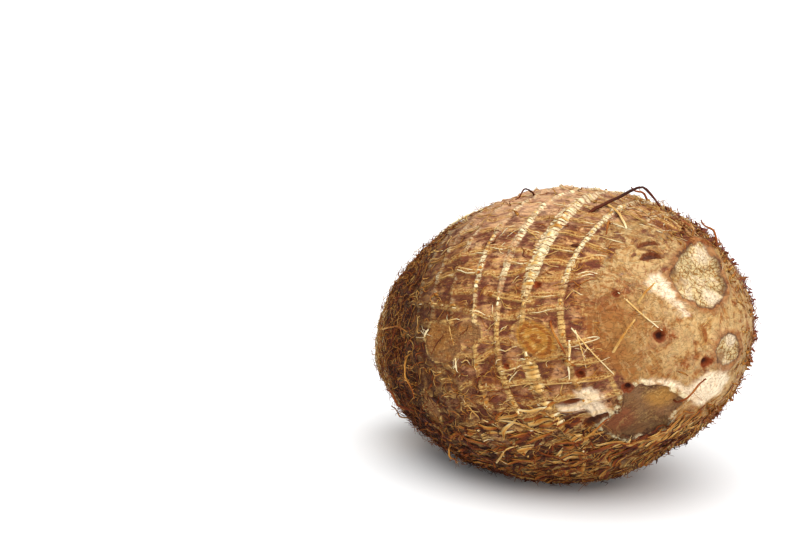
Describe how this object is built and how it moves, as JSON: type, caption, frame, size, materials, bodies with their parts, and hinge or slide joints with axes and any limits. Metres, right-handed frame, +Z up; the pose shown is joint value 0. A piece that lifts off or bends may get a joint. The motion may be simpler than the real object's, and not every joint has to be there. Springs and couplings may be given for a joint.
{
  "type": "taro root",
  "caption": "Whole egg-shaped taro cormel on its side, with leaf-scar rings, a raised net of fibres, root pits, broken-shoot scars and dry rootlets.",
  "frame": {"origin": "middle of the small flat spot that the root rests on", "axes": "+X along the root towards its bare base end, which is raised; +Z up; -Y is the side that the picture shows with +X"},
  "size_m": [0.1187, 0.081, 0.0847],
  "materials": {
    "corm_skin": "dry fibrous bark-like skin, matt",
    "fibre": "dry plant fibre, matt"
  },
  "bodies": {
    "root": {"corm": "corm_skin"}
  },
  "joints": []
}
